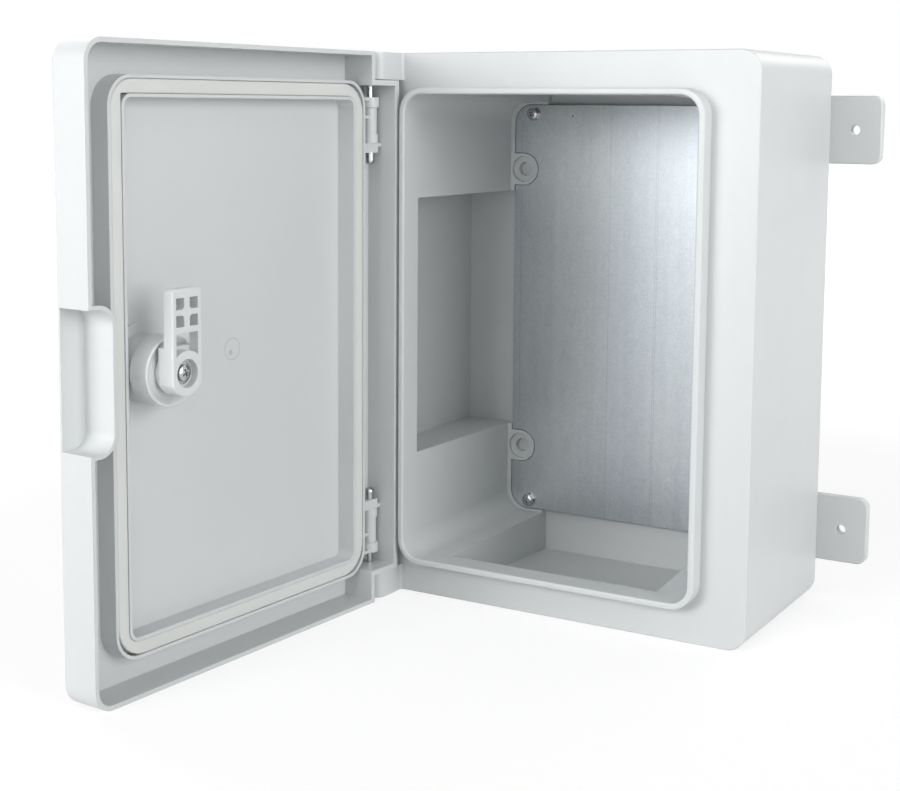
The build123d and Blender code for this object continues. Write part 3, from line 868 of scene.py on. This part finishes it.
@dataclass
class Gasket:
    """The foam strip in the door's channel, built shut and flat, with the strip's top at +Z."""

    half_w: float = 0.12065
    half_h: float = 0.17715
    width: float = 0.0089
    height: float = 0.008
    seat_y: float = -0.179
    outer_radii: tuple[float, ...] = (0.021, 0.0175, 0.021, 0.021)
    inner_radii: tuple[float, ...] = (0.0078, 0.0012, 0.0078, 0.0078)
    round_over: float = 0.0011
    wave: float = 0.00018
    waves_per_m: float = 34.0
    long_edge: float = 0.05
    cuts: int = 60
    corner_steps: int = 6
    edge_steps: int = 3

    def _loop(self, work: Workpiece, half_w: float, half_h: float,
              radii: Sequence[float]) -> list[bmesh.types.BMEdge]:
        """A rounded rectangle of edges in the XY plane.

        Args:
            work: The workpiece.
            half_w: Half its size along X.
            half_h: Half its size along Y.
            radii: Corner radii, from the lower left, lower right, upper left and upper right.

        Returns:
            Its edges.
        """
        quad = bmesh.ops.create_grid(work.shape, x_segments=1, y_segments=1, size=1.0)["verts"]
        bmesh.ops.scale(work.shape, vec=(half_w, half_h, 1.0), verts=quad)
        for vert, radius in zip(sorted(quad, key=lambda v: (v.co.y > 0, v.co.x > 0)), radii):
            bmesh.ops.bevel(work.shape, geom=[vert], offset=radius, offset_type="OFFSET",
                            segments=self.corner_steps, profile=0.5, affect="VERTICES", material=-1)
        face = [f for f in work.shape.faces if len(f.verts) > 4][-1]
        edges = list(face.edges)
        bmesh.ops.delete(work.shape, geom=[face], context="FACES_ONLY")
        return edges

    def lay(self, finishes: Finishes, swing: Matrix, hinge: Sequence[float]) -> None:
        """Builds the strip and swings it with the door.

        Args:
            finishes: Where its finish comes from.
            swing: The door's turn.
            hinge: A point on the hinge axis.
        """
        work = Workpiece()
        outer = self._loop(work, self.half_w, self.half_h, self.outer_radii)
        inner = self._loop(work, self.half_w - self.width, self.half_h - self.width, self.inner_radii)
        bmesh.ops.bridge_loops(work.shape, edges=outer + inner)
        runs = [edge for edge in work.shape.edges if edge.calc_length() > self.long_edge]
        bmesh.ops.subdivide_edges(work.shape, edges=runs, cuts=self.cuts, use_grid_fill=True)
        raised = bmesh.ops.extrude_face_region(work.shape, geom=work.shape.faces[:],
                                               use_keep_orig=True)["geom"]
        top = [item for item in raised if isinstance(item, bmesh.types.BMVert)]
        bmesh.ops.translate(work.shape, vec=(0.0, 0.0, self.height), verts=top)
        bmesh.ops.recalc_face_normals(work.shape, faces=work.shape.faces[:])
        rims = [edge for edge in work.shape.edges if min(v.co.z for v in edge.verts) > self.height / 2
                and edge.calc_face_angle(0.0) > SHARP_ANGLE]
        bmesh.ops.bevel(work.shape, geom=rims, offset=self.round_over, offset_type="OFFSET",
                        segments=self.edge_steps, profile=0.5, affect="EDGES", material=-1, clamp_overlap=True)
        for vert in work.shape.verts:
            if vert.co.z > self.height / 2:
                vert.co.z -= self.wave * (1 + noise.noise(vert.co * self.waves_per_m))
        upright = Matrix.Rotation(math.radians(-90.0), 3, "X")
        work.put(upright, (0.0, self.seat_y, 0.0)).put(swing, centre=hinge)
        work.hang("foam_gasket_strip", "door", Slot.FOAM_GASKET, finishes, ("door_gasket",))


@dataclass
class Door:
    """The door with its gasket, hinge pins and lock."""

    finishes: Finishes
    gasket: Gasket = field(default_factory=Gasket)
    hinge: tuple[float, float, float] = (-0.137, -0.178, 0.0)
    open_angle: float = 94.2
    cam_screw: CrossScrew = CrossScrew(0.0052, 0.0032, 0.0025, 0.014, 0.0056, arm_w=0.0013)
    cam_screw_seat: tuple[float, float, float] = (0.0875, -0.1474, 0.0)
    cam_screw_turn: float = 22.0
    lock_nodes: tuple[str, ...] = ("lock_housing", "lock_nut", "lock_rotor", "lock_cam")
    rubber_nodes: tuple[str, ...] = ("lock_seal", "rotor_ring")
    steel_nodes: tuple[str, ...] = ("hinge_pin_upper", "hinge_pin_lower", "cam_washer")

    def build(self) -> None:
        """Dresses the door and what it carries."""
        self.finishes.dress_nodes(Slot.LIGHT_GREY_PLASTIC, ("door_panel",))
        self.finishes.dress_nodes(Slot.LOCK_PLASTIC, self.lock_nodes)
        self.finishes.dress_nodes(Slot.BLACK_RUBBER, self.rubber_nodes)
        self.finishes.dress_nodes(Slot.BRIGHT_STEEL, self.steel_nodes)
        swing = Matrix.Rotation(math.radians(-self.open_angle), 3, "Z")
        self.gasket.lay(self.finishes, swing, self.hinge)
        self._screw(swing)

    def _screw(self, swing: Matrix) -> None:
        """The screw that holds the cam, facing into the box when the door is shut.

        Args:
            swing: The door's turn.
        """
        facing = (Matrix.Rotation(math.radians(-90.0), 3, "X")
                  @ Matrix.Rotation(math.radians(self.cam_screw_turn), 3, "Z"))
        work = self.cam_screw.cut().put(facing, self.cam_screw_seat).put(swing, centre=self.hinge)
        work.hang("cam_cross_screw", "latch", Slot.BRIGHT_STEEL, self.finishes, ("cam_screw",))


@dataclass(frozen=True)
class Lamp:
    """A square soft lamp: its place in metres, the length of its side and its power in watts."""

    name: str
    place: tuple[float, float, float]
    size: float
    power: float


@dataclass
class Studio:
    """Floor, soft lamps, pale surroundings and the camera."""

    lamps: tuple[Lamp, ...] = (
        Lamp("left_front", (-0.35, -2.4, 0.8), 1.0, 18.0),
        Lamp("right_front", (0.95, -2.2, 0.6), 1.0, 5.0),
        Lamp("front_high", (0.25, -1.3, 1.9), 1.0, 5.5),
        Lamp("left_low", (-1.0, -2.0, 0.35), 1.0, 14.5),
        Lamp("left_mid", (-0.75, -2.2, 0.55), 0.8, 6.0),
        Lamp("right", (3.0, -0.85, 0.80), 1.9, 66.0),
        Lamp("right_high", (1.6, -0.5, 1.7), 1.2, 3.0),
        Lamp("back", (0.6, 1.4, 1.3), 1.4, 14.0),
        Lamp("left_back", (-1.9, 0.4, 1.1), 1.4, 18.0),
    )
    aim: tuple[float, float, float] = (0.0, -0.15, 0.0)
    glow: float = 0.03
    glow_colour: tuple[float, float, float, float] = (0.95, 0.98, 1.0, 1.0)
    floor_z: float = -0.2
    floor_half: float = 20.0
    floor_colour: tuple[float, float, float] = (0.75, 0.75, 0.75)
    floor_white: float = 0.62
    floor_glow: float = 1.20
    floor_fade: tuple[float, float] = (0.5, 1.3)
    eye: tuple[float, float, float] = (0.495208, -1.133791, 0.161472)
    yaw: float = 30.535
    pitch: float = 6.548
    roll: float = 0.418
    focal_px: float = 1574.069
    image_w: float = 900.0
    image_h: float = 791.0
    optical_y: float = 287.5
    sensor: float = 36.0
    clip: tuple[float, float] = (0.05, 50.0)

    def build(self) -> None:
        """Makes the floor, the light and the camera."""
        self._floor()
        self._surroundings()
        for lamp in self.lamps:
            self._light(lamp)
        self._camera()
        bpy.context.scene.view_settings.view_transform = "Standard"

    def _floor(self) -> None:
        """A wide pale floor that keeps a faint shadow where the camera sees it."""
        mesh = bpy.data.meshes.new("floor")
        shape = bmesh.new()
        bmesh.ops.create_grid(shape, x_segments=1, y_segments=1, size=self.floor_half)
        bmesh.ops.translate(shape, verts=shape.verts[:], vec=(0.0, 0.0, self.floor_z))
        shape.to_mesh(mesh)
        shape.free()
        floor = bpy.data.objects.new("floor", mesh)
        bpy.context.scene.collection.objects.link(floor)
        recipe = Recipe.named("floor_finish")
        matt = recipe.add("ShaderNodeBsdfDiffuse", {"Color": (*self.floor_colour, 1.0)})
        white = recipe.add("ShaderNodeEmission", {"Color": tint(WHITE, 1.0), "Strength": self.floor_glow})
        seen = self._seen(recipe.add("ShaderNodeLightPath"))
        far = recipe.distance(recipe.place(), (0.0, 0.0, self.floor_z)).clamped(*self.floor_fade)
        share = self.floor_white + far * (1.0 - self.floor_white)
        recipe.show(recipe.add("ShaderNodeMixShader", {0: seen * share, 1: matt, 2: white}))
        floor.data.materials.append(recipe.owner)

    @staticmethod
    def _seen(path: Value) -> Value:
        """1 for the rays that should find white: those of the camera, of gloss and through glass.

        Args:
            path: Any output of the Light Path node.

        Returns:
            The mask.
        """
        outputs = path.socket.node.outputs
        camera, glossy, through = (Value(path.recipe, outputs[name]) for name in
                                   ("Is Camera Ray", "Is Glossy Ray", "Is Transmission Ray"))
        return (camera + glossy + through).clamped(0.0, 1.0)

    def _surroundings(self) -> None:
        """White where it is seen, and a plain soft light elsewhere."""
        world = bpy.data.worlds.new("surroundings")
        bpy.context.scene.world = world
        recipe = Recipe(world)
        seen = self._seen(recipe.add("ShaderNodeLightPath"))
        soft = recipe.add("ShaderNodeBackground", {"Color": self.glow_colour, "Strength": self.glow})
        white = recipe.add("ShaderNodeBackground", {"Color": tint(WHITE, 1.0), "Strength": 1.0})
        recipe.show(recipe.add("ShaderNodeMixShader", {0: seen, 1: soft, 2: white}), "ShaderNodeOutputWorld")

    def _light(self, lamp: Lamp) -> None:
        """Adds a square soft lamp that faces the box.

        Args:
            lamp: Its name, place, size and power.
        """
        data = bpy.data.lights.new(lamp.name, "AREA")
        data.shape = "SQUARE"
        data.size = lamp.size
        data.energy = lamp.power
        light = bpy.data.objects.new(lamp.name, data)
        light.location = lamp.place
        light.rotation_euler = (Vector(self.aim) - Vector(lamp.place)).to_track_quat("-Z", "Y").to_euler()
        bpy.context.scene.collection.objects.link(light)

    def _camera(self) -> None:
        """Puts the camera at the viewing angle, with a small shift for the framing."""
        yaw, pitch, roll = (math.radians(angle) for angle in (self.yaw, self.pitch, self.roll))
        level = Vector((math.cos(yaw), math.sin(yaw), 0.0))
        ahead = Vector((-math.sin(yaw), math.cos(yaw), 0.0))
        forward = ahead * math.cos(pitch) + Vector((0.0, 0.0, -math.sin(pitch)))
        upward = level.cross(forward)
        right = math.cos(roll) * level + math.sin(roll) * upward
        up = math.cos(roll) * upward - math.sin(roll) * level
        turn = Matrix((right, up, -forward)).transposed()
        data = bpy.data.cameras.new("camera")
        data.sensor_width = self.sensor
        data.lens = self.focal_px / self.image_w * self.sensor
        data.shift_y = (self.optical_y - self.image_h / 2) / self.image_w
        data.clip_start, data.clip_end = self.clip
        camera = bpy.data.objects.new("camera", data)
        camera.matrix_world = Matrix.Translation(self.eye) @ turn.to_4x4()
        bpy.context.scene.collection.objects.link(camera)
        bpy.context.scene.camera = camera


def main() -> None:
    """Builds the camera and light, then each sub-assembly."""
    logging.basicConfig(level=logging.INFO, format="%(message)s")
    Studio().build()
    finishes = Finishes()
    Body(finishes).build()
    Door(finishes).build()


if __name__ == "__main__":
    main()
